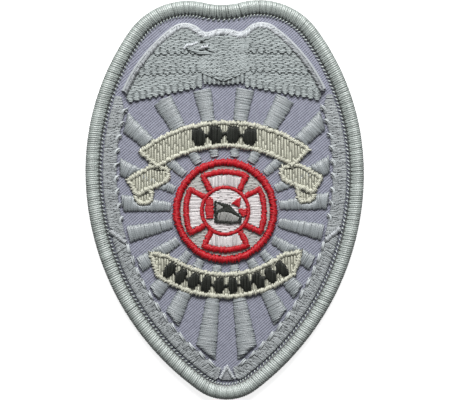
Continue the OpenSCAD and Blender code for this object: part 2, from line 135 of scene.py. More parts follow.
def one_thread(rings):
    """A closed straight thread along X with a ring at each whole number, to be laid along a path."""
    bm = bmesh.new()
    bmesh.ops.create_cone(bm, cap_ends=True, segments=thread_sides, radius1=1, radius2=1, depth=rings - 1)
    place = Matrix.Translation(((rings - 1) / 2, 0, 0)) @ Matrix.Rotation(math.pi / 2, 4, "Y")
    bmesh.ops.transform(bm, matrix=place, verts=bm.verts)
    for ring in range(1, rings - 1):
        everything = bm.verts[:] + bm.edges[:] + bm.faces[:]
        bmesh.ops.bisect_plane(bm, geom=everything, plane_co=(ring, 0, 0), plane_no=(1, 0, 0))
    return bm


def lay(paths, gauge, side=None, shade=(0.75, 1), blunt=0.6, fade=None):
    """Threads along paths of shape (threads, rings, 3), as arrays for one mesh.
    gauge is their width and height, shade their least and most light, and fade lowers it for each."""
    paths = np.asarray(paths, float)
    count, rings = paths.shape[:2]
    lights = chance.uniform(*shade, count) * (1 if fade is None else fade)
    bm = one_thread(rings)
    ring = np.array([round(v.co.x) for v in bm.verts])
    around = np.array([(v.co.y, v.co.z) for v in bm.verts])
    turn = np.arctan2(around[:, 1], around[:, 0]) / (2 * math.pi) % 1
    corners, totals, turns = [], [], []
    for face in bm.faces:
        ids = [v.index for v in face.verts]
        parts = turn[ids]
        if parts.max() - parts.min() > 0.5:
            parts = np.where(parts < 0.5, parts + 1, parts)
        corners += ids
        totals.append(len(ids))
        turns += list(parts)
    bm.free()
    corners = np.array(corners)

    tangent = np.gradient(paths, axis=1)
    tangent /= np.linalg.norm(tangent, axis=2, keepdims=True)
    if side is None:
        side = np.cross([0, 0, 1], tangent)
        side /= np.linalg.norm(side, axis=2, keepdims=True)
    else:
        side = np.repeat(np.asarray(side, float)[:, None], rings, axis=1)
    up = np.cross(tangent, side)
    ends = np.ones(rings)
    ends[[0, -1]] = blunt
    wide = (gauge[0] / 2 * chance.uniform(*thread_spread, count))[:, None, None] * ends[ring][None, :, None]
    tall = (gauge[1] / 2 * chance.uniform(*thread_spread, count))[:, None, None] * ends[ring][None, :, None]
    points = paths[:, ring] + wide * around[None, :, :1] * side[:, ring]
    points += tall * around[None, :, 1:] * up[:, ring]

    steps = np.linalg.norm(np.diff(paths, axis=1), axis=2)
    along = np.concatenate([np.zeros((count, 1)), np.cumsum(steps, axis=1)], axis=1)
    along += chance.uniform(0, twist_start, (count, 1))
    uv = np.stack([along[:, ring[corners]], np.tile(turns, (count, 1))], axis=2)
    first = len(ring) * np.arange(count)[:, None]
    return {
        "points": points.reshape(-1, 3),
        "corners": (corners[None] + first).ravel(),
        "totals": np.tile(totals, count),
        "uv": uv.reshape(-1, 2),
        "shade": np.repeat(lights, len(ring)),
    }


def piece(node, parts, material, name=None):
    """One object from laid threads and padding. It takes the place of its CAD node and rides on the body."""
    name = name or node + "_stitches"
    mesh = bpy.data.meshes.new(name)
    first = np.cumsum([0] + [len(part["points"]) for part in parts])
    points = np.concatenate([part["points"] for part in parts]) * MM
    corners = np.concatenate([part["corners"] + start for part, start in zip(parts, first)])
    totals = np.concatenate([part["totals"] for part in parts])
    mesh.vertices.add(len(points))
    mesh.loops.add(len(corners))
    mesh.polygons.add(len(totals))
    mesh.vertices.foreach_set("co", points.ravel())
    mesh.loops.foreach_set("vertex_index", corners.astype(np.int32))
    mesh.polygons.foreach_set("loop_start", (np.cumsum(totals) - totals).astype(np.int32))
    mesh.update(calc_edges=True)
    mesh.polygons.foreach_set("use_smooth", totals == 4)
    uv = np.concatenate([part["uv"] for part in parts])
    mesh.uv_layers.new(name="thread").data.foreach_set("uv", uv.ravel())
    shade = mesh.attributes.new("shade", "FLOAT", "POINT")
    shade.data.foreach_set("value", np.concatenate([part["shade"] for part in parts]))
    mesh.validate()
    mesh.materials.append(material)
    made = bpy.data.objects.new(name, mesh)
    bpy.context.scene.collection.objects.link(made)
    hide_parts(node)
    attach(made, "root")
    return made


def solid_tree(node):
    """A CAD solid's surface in millimetres, for finding what lies over or under it."""
    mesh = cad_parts[node].data
    mesh.calc_loop_triangles()
    triangles = [t.vertices[:] for t in mesh.loop_triangles]
    return BVHTree.FromPolygons([v.co / MM for v in mesh.vertices], triangles)


# Heights are felt for from well above, and a run has more points than this
ray_from = 10
least_points = 3


def height_at(tree, x, y):
    """Height of a surface's top at a place, or None beside it."""
    hit = tree.ray_cast(Vector((x, y, ray_from)), Vector((0, 0, -1)))[0]
    return hit.z if hit else None


def scan(node, angle, pitch, step=0.1, jump=0.1):
    """Stretches of a CAD solid's upper surface along parallel lines: (number of the line, points)."""
    tree = solid_tree(node)
    low, high = (np.array(corner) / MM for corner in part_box(node))
    centre = (low + high)[:2] / 2
    reach = np.linalg.norm((high - low)[:2]) / 2
    along = np.array([math.cos(angle), math.sin(angle)])
    across = np.array([-math.sin(angle), math.cos(angle)])
    first = math.ceil((centre @ across - reach) / pitch)
    last = math.floor((centre @ across + reach) / pitch)
    found = []
    for line in range(first, last + 1):
        run = []
        for s in np.append(np.arange(-reach, reach, step), math.inf):
            z = None
            if s < math.inf:
                x, y = line * pitch * across + (centre @ along + s) * along
                z = height_at(tree, x, y)
            if run and (z is None or abs(z - run[-1][2]) > jump):
                if len(run) > least_points:
                    found.append((line, np.array(run)))
                run = []
            if z is not None:
                run.append((x, y, z))
    return found


def socket_value(node, name, value):
    """Sets a number or colour on a node's input."""
    node.inputs[name].default_value = value


gamma = 2.2


def colour(red, green, blue):
    """Linear colour from one read off the object, out of 255."""
    return tuple((c / 255) ** gamma for c in (red, green, blue)) + (1,)


def calculate(tree, operation, first, second=None):
    """A Math node on two sockets or numbers."""
    node = tree.nodes.new("ShaderNodeMath")
    node.operation = operation
    for k, value in enumerate((first, second)):
        if isinstance(value, (int, float)):
            node.inputs[k].default_value = value
        elif value is not None:
            tree.links.new(value, node.inputs[k])
    return node.outputs[0]


def cloth_sheet():
    """The twill without its ribs: a thin slab cut to the shield, inside the edge."""
    places, inwards = along_arcs(shield_arcs, rim_pitch)
    bm = bmesh.new()
    low = cloth_bottom * MM
    rim = [bm.verts.new((*(point * MM), low)) for point in places + inwards * cloth_inset]
    face = bm.faces.new(rim)
    raised = bmesh.ops.extrude_face_region(bm, geom=[face])["geom"]
    top = [v for v in raised if isinstance(v, bmesh.types.BMVert)]
    bmesh.ops.translate(bm, verts=top, vec=(0, 0, (cloth_top - rib_height - cloth_bottom) * MM))
    bmesh.ops.recalc_face_normals(bm, faces=bm.faces)
    mesh = bpy.data.meshes.new("twill_cloth")
    bm.to_mesh(mesh)
    bm.free()
    made = bpy.data.objects.new("twill_cloth", mesh)
    bpy.context.scene.collection.objects.link(made)
    return made


def twill_finish():
    """Fine cross threads in Object coordinates, under the ribs, with a slow drift of the dye."""
    material = bpy.data.materials.new("lavender twill")
    material.use_nodes = True
    tree = material.node_tree
    shader = tree.nodes["Principled BSDF"]
    place = tree.nodes.new("ShaderNodeTexCoord")
    turn = tree.nodes.new("ShaderNodeMapping")
    socket_value(turn, "Rotation", (0, 0, -rib_angle))
    tree.links.new(place.outputs["Object"], turn.inputs["Vector"])
    weave = tree.nodes.new("ShaderNodeTexWave")
    socket_value(weave, "Scale", weft_scale)
    socket_value(weave, "Distortion", 0.6)
    tree.links.new(turn.outputs[0], weave.inputs["Vector"])
    drift = tree.nodes.new("ShaderNodeTexNoise")
    socket_value(drift, "Scale", 900)
    socket_value(drift, "Detail", 4)
    tree.links.new(place.outputs["Object"], drift.inputs["Vector"])
    mask = calculate(tree, "MULTIPLY", weave.outputs["Fac"], 0.35)
    mask = calculate(tree, "ADD", mask, drift.outputs[0])
    mix = tree.nodes.new("ShaderNodeMix")
    mix.data_type = "RGBA"
    mix.inputs[6].default_value = colour(117, 119, 133)
    mix.inputs[7].default_value = colour(151, 153, 168)
    tree.links.new(calculate(tree, "SUBTRACT", mask, 0.15), mix.inputs[0])
    tree.links.new(mix.outputs[2], shader.inputs["Base Color"])
    relief = tree.nodes.new("ShaderNodeBump")
    socket_value(relief, "Strength", 0.6)
    socket_value(relief, "Distance", 0.00005)
    tree.links.new(mask, relief.inputs["Height"])
    tree.links.new(relief.outputs[0], shader.inputs["Normal"])
    socket_value(shader, "Roughness", 0.8)
    socket_value(shader, "Sheen Weight", 0.15)
    return material


twill = twill_finish()
twill_cloth = cloth_sheet()
twill_cloth.data.materials.append(twill)
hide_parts("twill_ground")
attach(twill_cloth, "root")

rib_paths = []
for _, run in scan("twill_ground", rib_angle, rib_pitch, step=0.5):
    path = run[0] + np.linspace(0, 1, rib_rings)[:, None] * (run[-1] - run[0])
    path[:, 2] = cloth_top - rib_height
    rib_paths.append(path)
ribs = lay(rib_paths, (rib_pitch * rib_share, rib_height * 2))
twill_ribs = piece("twill_ground", [ribs], twill, name="twill_ribs")


# Merrowed edge
# Rayon yarn is wrapped round the rim by an overlocking machine, two wraps to each stitch.
# Each pair is drawn together at the needle hole inside the edge, where a fine chain holds it.
roll_r = 1.3
edge_width = 3.4
tooth_pitch = 0.95
wrap_width = 0.55
wrap_thick = 0.34
wrap_slant = 0.3
hole_in = 2.98
hole_height = 1.45
pinch_from = 2.5
pinch = 0.17
chain_width = 0.28
chain_in = 3.5
chain_swing = 0.27
roll_fullness = 1.6
chain_height = 1.62
chain_thick = 0.26
chain_fall = 0.2
chain_rise = 0.14
wrap_stray = 0.05
wrap_lift = (-0.05, 0.02)
wrap_low = 0.17
wrap_ends = (2.4, 3.25)


# Corners of a solid closer than this, in metres, are one, and sides at least this steep are drawn in
merge_gap = 1e-6
upright = 0.2


def padding(node, lower=0.5, inset=0.2, floor=stitch_z, shade=0.4):
    """The padding under a node's stitches: its CAD solid, lowered and drawn in a little at its sides. Its
    shade, lower than the stitches', paints it darker where it shows between them: painted shade.
    """
    bm = bmesh.new()
    bm.from_mesh(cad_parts[node].data)
    bmesh.ops.remove_doubles(bm, verts=bm.verts, dist=merge_gap)
    bm.normal_update()
    moves = []
    for v in bm.verts:
        out = Vector((v.normal.x, v.normal.y, 0))
        moves.append(-out.normalized() * inset if out.length > upright else out * 0)
    for v, move in zip(bm.verts, moves):
        v.co = v.co / MM + move
        v.co.z = floor + (v.co.z - floor) * lower
    points = np.array([v.co[:] for v in bm.verts])
    corners = np.array([v.index for face in bm.faces for v in face.verts])
    totals = np.array([len(face.verts) for face in bm.faces])
    bm.free()
    return {
        "points": points,
        "corners": corners,
        "totals": totals,
        "uv": points[corners, :2],
        # The padding's low shade is painted shade in the gaps between stitches.
        "shade": np.full(len(points), shade),
    }


def dome(part, fullness):
    """Height of a satin stitch, from 0 at its ends to 1, at a part of its length."""
    return (1 - np.abs(2 * part - 1) ** fullness) ** (1 / fullness)


def make_group(name, inputs, outputs):
    """A shader node group with named number inputs and outputs, and its two end nodes."""
    group = bpy.data.node_groups.new(name, "ShaderNodeTree")
    for title in inputs:
        group.interface.new_socket(title, in_out="INPUT", socket_type="NodeSocketFloat")
    for title in outputs:
        group.interface.new_socket(title, in_out="OUTPUT", socket_type="NodeSocketFloat")
    return group, group.nodes.new("NodeGroupInput"), group.nodes.new("NodeGroupOutput")


# The twist's plies and the loose fibres, in height and in colour, and the colour lost to the shine; the
# plies' colour is painted shade, lighter on their crowns and darker in the twist's grooves
plies = 2
ply_height = 0.35
ply_painted_shade = 0.06
fibre_light = 0.9
fibre_scale = (2.6, 7, 40)
lustre_loss = 0.28


def thread_group():
    """Twisted plies and loose fibres of a thread, from its length and round and each stitch's shade."""
    group, given, out = make_group("thread twist", ["Turns per mm", "Fibres"], ["Height", "Shade"])
    place = group.nodes.new("ShaderNodeUVMap")
    place.uv_map = "thread"
    split = group.nodes.new("ShaderNodeSeparateXYZ")
    group.links.new(place.outputs[0], split.inputs[0])
    turned = calculate(group, "MULTIPLY", split.outputs[0], given.outputs[0])
    turned = calculate(group, "ADD", turned, split.outputs[1])
    ply = calculate(group, "SINE", calculate(group, "MULTIPLY", turned, plies * 2 * math.pi))
    stitch = group.nodes.new("ShaderNodeAttribute")
    stitch.attribute_name = "shade"
    spread = group.nodes.new("ShaderNodeCombineXYZ")
    sources = (split.outputs[0], split.outputs[1], stitch.outputs["Fac"])
    for k, (source, scale) in enumerate(zip(sources, fibre_scale)):
        group.links.new(calculate(group, "MULTIPLY", source, scale), spread.inputs[k])
    noise = group.nodes.new("ShaderNodeTexNoise")
    socket_value(noise, "Scale", 1)
    socket_value(noise, "Detail", 3)
    group.links.new(spread.outputs[0], noise.inputs["Vector"])
    fibre = calculate(group, "SUBTRACT", noise.outputs[0], 0.5)
    fibre = calculate(group, "MULTIPLY", fibre, given.outputs[1])
    height = calculate(group, "ADD", calculate(group, "MULTIPLY", ply, ply_height), fibre)
    shade = calculate(group, "ADD", stitch.outputs["Fac"], calculate(group, "MULTIPLY", fibre, fibre_light))
    # The plies are painted lighter on their crowns and darker in the twist's grooves: painted shade.
    shade = calculate(group, "ADD", shade, calculate(group, "MULTIPLY", ply, ply_painted_shade))
    group.links.new(height, out.inputs["Height"])
    group.links.new(shade, out.inputs["Shade"])
    return group


twist = thread_group()


def thread_finish(name, light, shaded_tone, lustre=0.35):
    """Twisted thread: its shaded tone is painted shade where the padding shows between stitches, and also the
    dark end of each stitch's random tone; light on its best stitches.
    The more lustre it has, the less plain colour."""
    material = bpy.data.materials.new(name)
    material.use_nodes = True
    tree = material.node_tree
    shader = tree.nodes["Principled BSDF"]
    threads = tree.nodes.new("ShaderNodeGroup")
    threads.node_tree = twist
    socket_value(threads, "Turns per mm", 1.1)
    socket_value(threads, "Fibres", 0.9)
    mix = tree.nodes.new("ShaderNodeMix")
    mix.data_type = "RGBA"
    for slot, shown in ((6, shaded_tone), (7, light)):
        mix.inputs[slot].default_value = (*((1 - lustre_loss * lustre) * c for c in shown[:3]), 1)
    tree.links.new(threads.outputs["Shade"], mix.inputs[0])
    tree.links.new(mix.outputs[2], shader.inputs["Base Color"])
    relief = tree.nodes.new("ShaderNodeBump")
    socket_value(relief, "Strength", 0.6)
    socket_value(relief, "Distance", 0.00004)
    tree.links.new(threads.outputs["Height"], relief.inputs["Height"])
    tree.links.new(relief.outputs[0], shader.inputs["Normal"])
    socket_value(shader, "Roughness", 0.42)
    socket_value(shader, "IOR", 1.6)
    socket_value(shader, "Specular IOR Level", lustre)
    return material


# The edge yarn's near-black shaded tone is the painted shade of the needle holes.
edge_finish = thread_finish("edge yarn", colour(195, 205, 200), colour(20, 24, 23), lustre=0.9)


def wrap_section():
    """Centre line of a wrap as distance inwards and height: over the roll, round the rim and back below."""
    r = roll_r - wrap_thick / 2
    rise = roll_r + r - hole_height
    part = np.array([1, 0.96, 0.86, 0.68, 0.46, 0.22])
    high = hole_height + rise * (1 - part**roll_fullness) ** (1 / roll_fullness)
    top = list(zip(roll_r + (hole_in - roll_r) * part, high))
    angles = np.radians([90, 60, 30, 0, -30, -60, -90])
    roll = [(roll_r - r * math.cos(a), roll_r + r * math.sin(a)) for a in angles]
    below = [(inwards, wrap_low) for inwards in wrap_ends]
    return np.array(top + roll + below)


places, inwards = along_arcs(shield_arcs, tooth_pitch / 2)
section = wrap_section()
near = np.clip((section[:, 0] - pinch_from) / (hole_in - pinch_from), 0, 1) * (section[:, 1] > 1)
wrap_paths, wrap_sides = [], []
for k, (place, inward) in enumerate(zip(places, inwards)):
    forward = np.array([-inward[1], inward[0]])
    slide = (pinch if k % 2 else -pinch) * near + wrap_slant * (section[:, 0] / edge_width - 0.5)
    slide = slide + chance.uniform(-wrap_stray, wrap_stray)
    flat = place + section[:, :1] * inward + slide[:, None] * forward
    lift = chance.uniform(*wrap_lift)
    high = section[:, 1] + lift * (section[:, 1] > 0.5)
    wrap_paths.append(np.column_stack([flat, high]))
    wrap_sides.append(np.cross([0, 0, 1], [*-inward, 0]))

chain_paths = []
for k in range(0, len(places), 2):
    follow = (k + 1) % len(places)
    start = places[k] + inwards[k] * (chain_in - chain_swing)
    end = places[follow] + inwards[follow] * (chain_in + chain_swing)
    part = np.array([0, 0.2, 0.5, 0.8, 1])
    high = chain_height - chain_fall * part + chain_rise * dome(part, 2)
    chain_paths.append(np.column_stack([start + part[:, None] * (end - start), high]))

parts = [
    # The padding's very low shade paints the needle holes and the gaps between wraps nearly black: painted
    # shade.
    padding("merrow_edge", lower=0.56, inset=0.15, floor=1.3, shade=0.1),
    lay(wrap_paths, (wrap_width, wrap_thick), side=wrap_sides, shade=(0.66, 1), blunt=0.5),
    lay(chain_paths, (chain_width, chain_thick), shade=(0.9, 1.05)),
]
piece("merrow_edge", parts, edge_finish, name="merrow_edge_yarn")


# Rays
# Twenty rays of silver-grey satin stitch fan out from the medallion on thin padding.
# Each stitch crosses its ray from side to side.
ray_angles = [10, 28.8, 47.8, 66.8, 85, 103, 121.5, 138.5, 153, 171.5]
ray_pitch = 0.24
ray_gauge = (0.33, 0.18)
ray_fullness = 2.1
ray_crown = 0.1
ray_short = 2.2


# Where a satin stitch has its rings, and how far it is off its height
satin_parts = np.array([0, 0.03, 0.12, 0.3, 0.5, 0.7, 0.88, 0.97, 1])
satin_top = (-0.04, 0.03)


def satin(runs, thick, fullness=3, ragged=0.09, wander=0.08, floor=stitch_z, crown=0, reach=0, short=0.01):
    """One stitch over each run, from side to side and a reach further, a little out of line.
    crown is how much higher than the run it goes. Runs less than short get lower stitches."""
    paths = []
    for _, run in runs:
        start, end = run[0].copy(), run[-1].copy()
        length = np.linalg.norm(end - start)
        along = (end - start) / length
        start -= along * reach
        end += along * reach
        across = np.array([-along[1], along[0], 0])
        start += across * chance.uniform(-wander, wander) - along * chance.uniform(-ragged, ragged)
        end += across * chance.uniform(-wander, wander) + along * chance.uniform(-ragged, ragged)
        top = run[:, 2].max() - thick / 2 + crown + chance.uniform(*satin_top)
        path = start + satin_parts[:, None] * (end - start)
        path[:, 2] = floor + (top - floor) * min(1, length / short) * dome(satin_parts, fullness)
        paths.append(path)
    return paths


ray_finish = thread_finish("ray thread", colour(168, 175, 178), colour(60, 64, 66), lustre=0.8)

for k in range(20):
    node = f"ray_{k + 1:02d}"
    angle = ray_angles[k] if k < 10 else -ray_angles[19 - k]
    runs = scan(node, math.radians(-angle), ray_pitch)
    paths = satin(runs, ray_gauge[1], ray_fullness, ragged=0.14, crown=ray_crown, short=ray_short)
    parts = [padding(node, lower=0.3, inset=0.4, shade=0.8), lay(paths, ray_gauge, shade=(0.72, 1))]
    piece(node, parts, ray_finish)


# Eagle
# Each wing is three rows of feathers in short level stitches, the upper rows over the lower ones.
# The body comes next, with its beak to the left, and a thick slanted cord closes the top.
feather_pitch = 0.33
feather_gauge = (0.4, 0.24)
feather_length = 1.9
feather_stray = 0.06
# Where the tips part: as far up from their edge, and as surely in the lowest row and the others
tip_length = 1.1
tip_sure = (0.9, 0.55)
lowest_row = 0.7
shortest_cut = 5
body_half_width = 4.6
# Each row: height, inner end and outer end of its edge, feathers
feather_rows = [
    (0.6, (body_half_width, 26.3), (21.7, 22.9), 12),
    (0.8, (body_half_width, 29.6), (19.2, 28.8), 10),
    (1, (body_half_width, 33.8), (15.6, 33.4), 7),
]
# The breast's stitches sag from its sides to its middle, and sink towards its foot
body_pitch = 0.34
body_stitch = 2.2
body_reach = 0.7
body_sweep = (1.8, 0.7)
body_sweep_over = 4
body_sink = 0.45
body_sink_over = 2.5
beak_from = 1.2
body_rise = 0.35
body_foot = 28.5
body_neck = 36.5
body_fringe = 27.4
tail_pitch = 1.05
tail_count = 9
tail_foot = 25.9
tail_rise = 0.06
tail_widths = [0.85, 0.85, 0.8, 0.45]
tail_height = 0.75
tail_gauge = (0.36, 0.24)
# The beak is a few raised strokes: start and end of each
beak_strokes = [
    ((-8.9, 34.1), (-8.1, 34.9)),
    ((-8.2, 34.9), (-6.9, 35)),
    ((-7, 35), (-5.7, 35.5)),
    ((-5, 34.3), (-3.4, 34.6)),
]
beak_width = 0.55
beak_foot = 1
beak_height = 1.4
beak_gauge = (0.3, 0.22)

eagle_finish = thread_finish("eagle thread", colour(171, 179, 179), colour(60, 64, 66))
bright_finish = thread_finish("bright thread", colour(208, 213, 217), colour(50, 54, 56), lustre=0.5)


# Where a fill stitch has its rings, and how far each is sunk
fill_parts = np.array([0, 0.15, 0.5, 0.85, 1])
fill_sunk = np.array([1, 0.25, 0, 0.25, 1])
# How far a stitch is off its height, and the breaks from row to row, in parts of a stitch
fill_top = 0.03
fill_shift = 0.37
fill_breaks = 0.2
fill_least = 0.5


def fill(runs, angle, length, thick, dip=0.12, ends=0, stray=0.02):
    """Rows of short stitches over the runs, their ends sunk and staggered from row to row.
    ends is how far the first and last go on under what is beside them, stray how far ends are out of line."""
    along = np.array([math.cos(angle), math.sin(angle), 0])
    across = np.array([-math.sin(angle), math.cos(angle), 0])
    paths = []
    for line, run in runs:
        s = run @ along
        breaks = np.arange(math.floor(s[0] / length) - 1, math.ceil(s[-1] / length) + 2) * length
        breaks = breaks + (line * fill_shift % 1) * length
        breaks = breaks + chance.uniform(-fill_breaks, fill_breaks, len(breaks)) * length
        inner = breaks[(breaks > s[0] + fill_least) & (breaks < s[-1] - fill_least)]
        marks = np.concatenate([[s[0] - ends], inner, [s[-1] + ends]])
        for start, end in zip(marks[:-1], marks[1:]):
            at = start + (end - start) * fill_parts
            path = run[0] + (at - s[0])[:, None] * along
            path += np.linspace(*chance.uniform(-stray, stray, 2), len(at))[:, None] * across
            path[:, 2] = np.interp(at, s, run[:, 2])
            path[:, 2] -= thick / 2 + dip * fill_sunk + chance.uniform(0, fill_top)
            paths.append(path)
    return paths


def feather_tips(runs, side):
    """Cuts level runs between the round tips of neighbouring feathers, near the edge of their row."""
    cut = []
    for line, run in runs:
        level = run[:, 2].mean() - stitch_z
        _, inner, outer, count = min(feather_rows, key=lambda row: abs(row[0] - level))
        edges = side * np.linspace(inner[0], outer[0], count + 1)
        lean = (outer[1] - inner[1]) / (outer[0] - inner[0])
        marks = [0]
        for k in range(1, len(run)):
            crossed = ((edges - run[k - 1][0]) * (edges - run[k][0]) < 0).any()
            above = run[k][1] - inner[1] - lean * (abs(run[k][0]) - inner[0])
            sure = tip_sure[0] if level < lowest_row else tip_sure[1]
            if crossed and k - marks[-1] > 4 and above < tip_length and chance.random() < sure:
                marks.append(k - chance.integers(0, 3))
        marks.append(len(run))
        parts = [(a, b) for a, b in zip(marks[:-1], marks[1:]) if b - a > shortest_cut]
        cut += [(line, run[a + 1 : b - 1]) for a, b in parts]
    return cut


for name, side in (("left", -1), ("right", 1)):
    node = "eagle_wing_" + name
    runs = feather_tips(scan(node, 0, feather_pitch), side)
    paths = fill(runs, 0, feather_length, feather_gauge[1], dip=0.15, stray=feather_stray)
    # The padding's low shade paints the gaps between the feather tips and stitches dark: painted shade.
    parts = [padding(node, lower=0.7, shade=0.35), lay(paths, feather_gauge, shade=(0.7, 1))]
    piece(node, parts, eagle_finish, name=node + "_feathers")


# A cord's way is eased over this much at its corners, and its stitches stray this much along it
corner_ease = 0.35
cord_thick = 0.24
cord_fullness = 2.2
cord_stray = 0.12


def even_path(points, pitch, closed):
    """Even places along a line of points and the direction along it at each, eased round the corners."""
    points = np.asarray(points, float)
    if closed:
        points = np.vstack([points, points[:1]])
    s = np.concatenate([[0], np.cumsum(np.linalg.norm(np.diff(points, axis=0), axis=1))])
    count = round(s[-1] / pitch)
    marks = (np.arange(count) + 0.5) * s[-1] / count

    def at(mark):
        mark = mark % s[-1] if closed else np.clip(mark, 0, s[-1])
        return np.stack([np.interp(mark, s, points[:, k]) for k in (0, 1)], axis=1)

    along = at(marks + corner_ease) - at(marks - corner_ease)
    return at(marks), along / np.linalg.norm(along, axis=1, keepdims=True)


def spread_over(values, count):
    """So many values, evenly spaced through a short list of them."""
    return np.interp(np.linspace(0, 1, count), np.linspace(0, 1, np.size(values)), np.ravel(values))


def cord(points, width, top, pitch, slant=0.5, closed=True, floor=stitch_z, ragged=0.2, uneven=0.05):
    """Stitches across a line of points, slanted, as a cord of satin stitch with ragged sides."""
    places, along = even_path(points, pitch, closed)
    paths = []
    for place, forward, full in zip(places, along, spread_over(width, len(places))):
        across = np.array([-forward[1], forward[0]])
        half = across * full / 2 + forward * (slant * full / 2 + chance.uniform(-cord_stray, cord_stray))
        start = place - half * (1 + chance.uniform(-ragged, ragged))
        end = place + half * (1 + chance.uniform(-ragged, ragged))
        flat = start + satin_parts[:, None] * (end - start)
        crown = top - cord_thick / 2 + chance.uniform(-uneven, uneven / 2)
        paths.append(np.column_stack([flat, floor + (crown - floor) * dome(satin_parts, cord_fullness)]))
    return paths


body_runs = [run for run in scan("eagle_body", 0, body_pitch) if run[1][0][1] > body_fringe]
body_paths = fill(body_runs, 0, body_stitch, feather_gauge[1], dip=0.1, ends=body_reach, stray=0.05)
for path in body_paths:
    out = np.abs(path[:, 0]) / body_half_width
    foot = np.clip((body_foot - path[:, 1]) / body_sink_over, 0, 1)
    if out.max() > beak_from:
        continue
    neck = np.clip((body_neck - path[:, 1]) / body_sweep_over, 0, 1)
    path[:, 1] += (body_sweep[0] * out - body_sweep[1]) * neck
    path[:, 2] -= body_rise * out**2 + body_sink * foot
tail_paths = []
for x in tail_pitch * (np.arange(tail_count) - (tail_count - 1) / 2):
    tuft = [(x, body_foot), (x, tail_foot + tail_rise * abs(x))]
    top = stitch_z + tail_height
    tail_paths += cord(tuft, tail_widths, top, pitch=0.28, slant=0, closed=False, ragged=0.1)
beak_paths = []
for start, end in beak_strokes:
    low, top = stitch_z + beak_foot, stitch_z + beak_height
    beak_paths += cord([start, end], beak_width, top, pitch=0.26, closed=False, floor=low)
parts = [
    # The padding's low shade paints the gaps between the tail tufts and stitches dark: painted shade.
    padding("eagle_body", lower=0.42, inset=0.35),
    lay(body_paths, feather_gauge, shade=(0.7, 1)),
    lay(tail_paths, tail_gauge, shade=(0.7, 1)),
]
piece("eagle_body", parts, eagle_finish)
beak = lay(beak_paths, beak_gauge, shade=(0.9, 1.1))
piece("eagle_body", [beak], bright_finish, name="eagle_beak_stitches")


def arc(centre, r, start, end, step=0.4):
    """Points of an arc, its angles in radians."""
    count = max(2, round(abs(r * (end - start)) / step))
    angles = np.linspace(start, end, count + 1)
    return np.column_stack([centre[0] + r * np.cos(angles), centre[1] + r * np.sin(angles)])


def touching(a, a_r, b, b_r):
    """Centre of a circle at distance a_r from a and b_r from b, on the upper side."""
    a, b = np.array(a, float), np.array(b, float)
    d = np.linalg.norm(b - a)
    along = (a_r**2 - b_r**2 + d**2) / (2 * d)
    up = math.sqrt(a_r**2 - along**2)
    return a + along * (b - a) / d + up * np.array([a[1] - b[1], b[0] - a[0]]) / d


wing_c = (-9.1, 10.8)
wing_r = 34.6
wing_tip_a = math.radians(23.5)
crest_r = 4.6
crest_y = 39.6 - crest_r
crest_c = (wing_c[0] + math.sqrt((wing_r - crest_r) ** 2 - (crest_y - wing_c[1]) ** 2), crest_y)
head_r = 7.5
head_c = (0, 38.2 - head_r)
nape_r = 2.4
nape_c = touching(head_c, head_r + nape_r, crest_c, crest_r + nape_r)
top_cord_middle = 0.6
top_cord_height = 1.2
top_cord_gauge = (0.4, 0.28)

wing_line = np.vstack(
    [
        arc(wing_c, wing_r - top_cord_middle, wing_tip_a, heading(wing_c, crest_c)),
        arc(crest_c, crest_r - top_cord_middle, heading(wing_c, crest_c), heading(crest_c, nape_c)),
        arc(nape_c, nape_r + top_cord_middle, heading(nape_c, crest_c), heading(nape_c, head_c)),
        arc(head_c, head_r - top_cord_middle, heading(head_c, nape_c), math.pi / 2),
    ]
)
top_line = np.vstack([wing_line, (wing_line * (-1, 1))[-2::-1]])
# The cord is thin and dull at the wing tips, and widest and brightest over the head
top_cord_width = [0.95, 1, 1.1, 1.2, 1.35, 1.6, 1.35, 1.2, 1.1, 1, 0.95]
top_cord_light = [0.48, 0.54, 0.66, 0.85, 1, 0.95, 1, 0.85, 0.66, 0.54, 0.48]
top_paths = cord(
    top_line,
    top_cord_width,
    stitch_z + top_cord_height,
    pitch=0.37,
    slant=0.9,
    closed=False,
    ragged=0.3,
    uneven=0.1,
)
fade = spread_over(top_cord_light, len(top_paths))
parts = [
    padding("eagle_top_cord", lower=0.7, shade=0.7),
    lay(top_paths, top_cord_gauge, shade=(0.68, 1), fade=fade),
]
piece("eagle_top_cord", parts, bright_finish)


# Side bands
# A band of grey satin runs down each side inside the edge, thorned above the tie and dashed below it.
# Thorns and dashes are raised satin in the same thread; they catch more light, and their lighter shade than
# the flat band's paints more on them: a painted highlight.
band_pitch = 0.26
band_stitch = 1.5
band_reach = 0.3
band_stray = 0.16
band_gauge = (0.36, 0.2)
lower_turn = math.radians(35)
raised_gauge = (0.27, 0.22)
raised_fullness = 2.5
band_in = 4.2
band_width = 2.6
thorn_top = 14.2
thorn_pitch = 3.1
thorn_count = 9
thorn_length = 0.75
thorn_run = 1.2
thorn_stray = 0.2
thorn_pair = 0.24
thorn_out = 0.1
thorn_bend = 0.3
thorn_rise = 0.7
thorn_height = 0.7
dash_level = 0.65
dash_top = -17.2
dash_pitch = 2.95
dash_length = 2.35
dash_turn = math.radians(9)
dash_count = 12
dash_offsets = (-0.18, 0, 0.18)
dash_stray = 0.15
dash_start = (0.55, 1.1)
dash_end = (0.7, 1.1)
dash_height = 0.76

band_finish = thread_finish("band thread", colour(204, 210, 212), colour(50, 54, 56))


def at_side(down, inwards):
    """Place so far along the right side from its widest level and so far inwards, and the way out."""
    flank_end = (flank_r - inwards) * tip_a
    if down > 0:
        centre, r, angle = side_c, side_r, down / (side_r - inwards)
    elif down > flank_end:
        centre, r, angle = flank_c, flank_r, down / (flank_r - inwards)
    else:
        centre, r, angle = tip_c, tip_r, tip_a + (down - flank_end) / (tip_r - inwards)
    out = np.array([math.cos(angle), math.sin(angle)])
    return np.array(centre) + (r - inwards) * out, out


